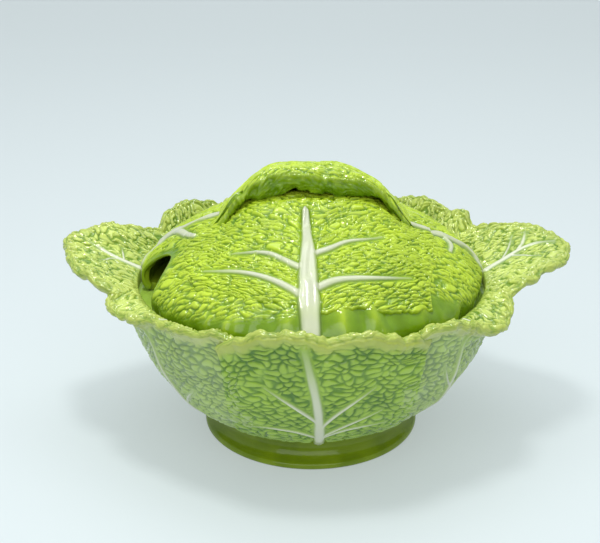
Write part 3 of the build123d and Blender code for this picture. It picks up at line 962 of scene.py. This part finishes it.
def handle_leaf():
    """The folded leaf over the dome: its back is rooted on the dome and its front lip curls down."""
    columns = int(190 / STEP)
    x = resample(smooth_curve(HANDLE_BACK, 400), columns)[:, 0]
    back, crest_height, lip_height = (np.interp(x, *smooth_curve(c, 400).T) for c in (HANDLE_BACK, HANDLE_CREST, HANDLE_LIP))
    middle = (x - 1.3) / 71
    width = np.sqrt(np.clip(1 - middle**2, 0.03, 1))
    width = 0.45 + 0.55 * width
    crumple = drift(x / 7, 0, 61)
    rows = int(96 / STEP)
    sheet = np.empty((columns, rows, 3))
    for i in range(columns):
        w, top, ridge_z, low = width[i], back[i], crest_height[i], lip_height[i]
        front = 19.5 + 1.2 * crumple[i] - 5 * abs(middle[i]) ** 2
        section = [(50 * w, -2.5), (43 * w, 0.1 * top), (31 * w, 0.56 * top), (17 * w, 0.88 * top), (3 * w, 0.99 * top)]
        section += [(-7 * w, 0.5 * top + 0.5 * ridge_z + 0.4), (-front, ridge_z), (-front - 2.6, 0.55 * ridge_z + 0.45 * low)]
        section += [(-front + 0.6, low + 0.8 * drift(x[i] / 6, 4, 63))]
        curve = smooth_curve(section, rows)
        ground = np.interp(np.hypot(x[i], curve[:, 0]), lid_curve[:600, 0], lid_curve[:600, 1])
        sheet[i] = np.c_[np.full(rows, x[i]), curve[:, 0], ground + curve[:, 1]]
    normal = unit(np.cross(np.gradient(sheet, axis=0), np.gradient(sheet, axis=1)))
    normal *= np.sign(normal[columns // 2, rows // 2, 2])
    s = np.cumsum(np.linalg.norm(np.diff(sheet, axis=1, prepend=sheet[:, :1]), axis=2), axis=1)
    to_lip = s[:, -1:] - s
    face_length = np.clip(0.9 * (crest_height - lip_height), 3, 30)[:, None]
    face = 1 - ramp(face_length - 1.5, face_length + 2.5, to_lip)
    across = x[:, None] + 0 * s
    pattern = wrinkles(across, s * 1.05, 970)
    veins = [([(5, 20), (4.5, 34), (4, 48)], 1.8, 0.6), ([(5, 30), (17, 39), (27, 46)], 1.1, 0.5), ([(5, 31), (-8, 40), (-18, 46)], 1.1, 0.5)]
    rib, clear, white = vein_field(across, s, veins)
    rough = (1 - 0.6 * face) * ramp(0.2, 2.6, clear)
    furrow = 1.2 * drift(across / 6.5, to_lip / 9, 971) + 0.6 * drift(across / 3.0, to_lip / 5, 972)
    crest = np.exp(-(((to_lip - face_length - 0.5) / 1.7) ** 2))
    relief = 1.9 * (pattern - 0.3) * rough + 1.3 * furrow * face + 0.8 * rib + 1.5 * crest
    top = sheet + normal * relief[..., None]
    coarse = np.unique(np.r_[np.arange(0, rows, 3), rows - 1])[::-1]
    low = sheet[:, coarse] - normal[:, coarse] * HANDLE_THICK
    centre, half = (top[:, -1] + low[:, 0]) / 2, (top[:, -1] - low[:, 0]) / 2
    out = unit(sheet[:, -1] - sheet[:, -4])
    turns = np.linspace(0, PI, 13)[1:-1][None, :, None]
    size = np.linalg.norm(half, axis=1)[:, None, None]
    roll = centre[:, None] + half[:, None] * np.cos(turns) + out[:, None] * size * np.sin(turns)
    points = np.concatenate([top, roll, low], axis=1)
    shape = (columns, roll.shape[1] + low.shape[1])
    # Painted shade: the lip's front face, which lies in shade, is coloured down towards the dark trough colour; its
    # furrows stay a little lighter.
    ridge = (0.3 + (pattern - 0.3) * rough) * (1 - 0.85 * face) + 0.6 * crest + 0.2 * furrow * face
    fields = {
        "ridge": np.clip(np.concatenate([ridge, np.full(shape, 0.05)], axis=1), 0, 1),
        "vein": np.concatenate([white * (1 - face) * 0.4 * ramp(62, 42, s), np.zeros(shape)], axis=1),
        "rim": np.concatenate([0.7 * crest, np.zeros(shape)], axis=1),
    }
    loft_piece("lid_handle_leaf", points, fields, lid_glaze, "lid", "lid_handle_leaf", "lid_glaze")


handle_leaf()

# --- floor, light and camera --------------------------------------------------------------------
def stage_material():
    material = bpy.data.materials.new("studio_paper")
    material.use_nodes = True
    nodes, links = material.node_tree.nodes, material.node_tree.links
    shader = nodes["Principled BSDF"]
    noise = nodes.new("ShaderNodeTexNoise")
    noise.inputs["Scale"].default_value = 3.0
    tint = nodes.new("ShaderNodeValToRGB")
    tint.color_ramp.elements[0].color = (0.32, 0.36, 0.375, 1)
    tint.color_ramp.elements[1].color = (0.34, 0.38, 0.395, 1)
    links.new(noise.outputs["Fac"], tint.inputs["Fac"])
    links.new(tint.outputs["Color"], shader.inputs["Base Color"])
    shader.inputs["Roughness"].default_value = 0.6
    # The paper is lit from behind too, so the shadow on it stays pale.
    shader.inputs["Emission Color"].default_value = (0.92, 1.0, 1.0, 1)
    shader.inputs["Emission Strength"].default_value = 0.36
    return material


def make_floor():
    """A paper sweep: flat under the tureen, curving up far behind it."""
    turns = np.linspace(0, PI / 2, 24)
    sweep = np.c_[1.3 + 0.9 * np.sin(turns), 0.9 - 0.9 * np.cos(turns)]
    rows = [(-6.0, 0.0), *sweep.tolist(), (2.2, 3.4)]
    vertices = [(x, y, z) for y, z in rows for x in (-6.0, 6.0)]
    faces = [(2 * i, 2 * i + 1, 2 * i + 3, 2 * i + 2) for i in range(len(rows) - 1)]
    mesh = bpy.data.meshes.new("floor")
    mesh.from_pydata(vertices, [], faces)
    mesh.shade_smooth()
    mesh.materials.append(stage_material())
    floor = bpy.data.objects.new("floor", mesh)
    bpy.context.scene.collection.objects.link(floor)
    return floor


def area_light(name, place, target, size, power, colour):
    data = bpy.data.lights.new(name, "AREA")
    data.shape = "RECTANGLE"
    data.size, data.size_y = size
    data.energy = power
    data.color = colour
    light = bpy.data.objects.new(name, data)
    light.location = place
    direction = np.array(target) - np.array(place)
    light.rotation_mode = "QUATERNION"
    light.rotation_quaternion = Vector(direction).to_track_quat("-Z", "Y")
    bpy.context.scene.collection.objects.link(light)
    return light


make_floor()
area_light("key", (-0.10, -0.16, 1.3), (0, 0, 0.1), (0.22, 0.18), 6.2, (1.0, 0.99, 0.96))
area_light("front", (-0.1, -1.25, 0.95), (0, 0, 0.08), (1.8, 1.0), 10, (1.0, 1.0, 0.98))
area_light("top", (0.0, 0.25, 1.5), (0, 0, 0.1), (1.4, 0.9), 7.5, (0.98, 1.0, 1.0))

# A room that is bright above and behind, and dim in front.
world = bpy.data.worlds.new("studio")
world.use_nodes = True
nodes, links = world.node_tree.nodes, world.node_tree.links
where = nodes.new("ShaderNodeTexCoord")
axes = nodes.new("ShaderNodeSeparateXYZ")
sky, depth = nodes.new("ShaderNodeValToRGB"), nodes.new("ShaderNodeMapRange")
links.new(where.outputs["Generated"], axes.inputs["Vector"])
links.new(axes.outputs["Z"], sky.inputs["Fac"])
links.new(axes.outputs["Y"], depth.inputs["Value"])
sky.color_ramp.elements[0].color = (0.50, 0.55, 0.56, 1)
sky.color_ramp.elements[1].color = (0.9, 0.95, 1.0, 1)
for key, number in (("From Min", -0.9), ("From Max", 0.1), ("To Min", 0.44), ("To Max", 1.0)):
    depth.inputs[key].default_value = number
links.new(sky.outputs["Color"], nodes["Background"].inputs["Color"])
links.new(depth.outputs["Result"], nodes["Background"].inputs["Strength"])
bpy.context.scene.world = world
bpy.context.scene.view_settings.view_transform = "Standard"

ELEVATION = math.radians(22.5)
DISTANCE = 0.832
target = Vector((-0.0080, 0, 0.1156))
back = Vector((0, -math.cos(ELEVATION), math.sin(ELEVATION)))
camera_data = bpy.data.cameras.new("camera")
camera_data.lens, camera_data.sensor_width = 70.4, 36
camera = bpy.data.objects.new("camera", camera_data)
camera.location = target + back * DISTANCE
camera.rotation_mode = "QUATERNION"
camera.rotation_quaternion = (-back).to_track_quat("-Z", "Y")
bpy.context.scene.collection.objects.link(camera)
bpy.context.scene.camera = camera
